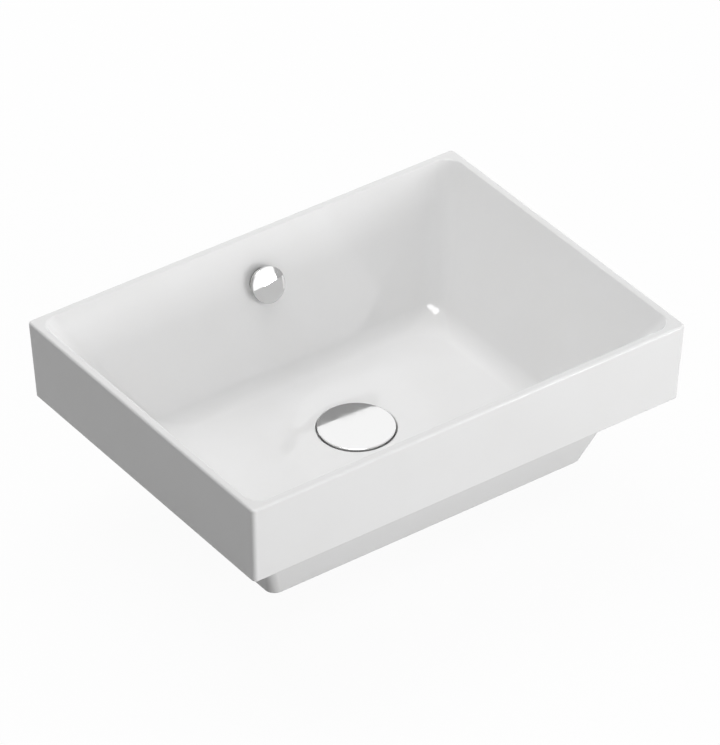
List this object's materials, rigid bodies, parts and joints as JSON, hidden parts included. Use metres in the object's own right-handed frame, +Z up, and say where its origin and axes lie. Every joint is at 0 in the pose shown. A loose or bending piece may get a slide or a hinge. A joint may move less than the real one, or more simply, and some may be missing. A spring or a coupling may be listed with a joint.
{
  "type": "semi recessed basin",
  "caption": "Rectangular white ceramic semi recessed washbasin with a tapered lower tray, a round chrome overflow cover and a press-to-open chrome plug.",
  "frame": {"origin": "on the axis of the drain, in the plane of the ledge that rests on the worktop", "axes": "+X along the width, +Y to the back where the overflow is, +Z up"},
  "size_m": [0.5, 0.37, 0.2055],
  "materials": {
    "glaze": "gloss",
    "chrome": "polished",
    "brass": "satin",
    "rubber": "matte",
    "white_plastic": "satin",
    "acetal": "satin",
    "spring_steel": "satin"
  },
  "bodies": {
    "basin": {"basin_body": "glaze", "overflow_cover": "chrome", "overflow_stud": "brass", "overflow_sleeve": "white_plastic", "overflow_washer": "rubber", "waste_body": "chrome", "flange_washer": "rubber", "boss_seal": "rubber", "slip_washer": "acetal", "back_nut": "brass", "cartridge_housing": "brass", "cartridge_ring_seal": "rubber", "cartridge_spring": "spring_steel", "cartridge_base": "brass", "cartridge_base_nut": "brass"},
    "plug": {"plug_cap": "chrome", "plug_carrier": "acetal", "plug_seal": "rubber", "plug_stem": "brass", "stem_locknut": "brass"},
    "rotor": {"cartridge_rotor": "acetal"}
  },
  "joints": [
    {"name": "plug_slide", "type": "slide", "parent": "basin", "child": "plug", "axis": [0, 0, 1], "range_m": [-0.0012, 0.007], "deforming": ["cartridge_spring"]},
    {"name": "rotor_turn", "type": "hinge", "parent": "plug", "child": "rotor", "pos_m": [0, 0, -0.0721], "axis": [0, 0, 1], "range_deg": [-7.8, 45.1]}
  ],
  "couplings": [
    {"joint": "rotor_turn", "follows": "plug_slide", "rad_per_m": 112.2}
  ]
}
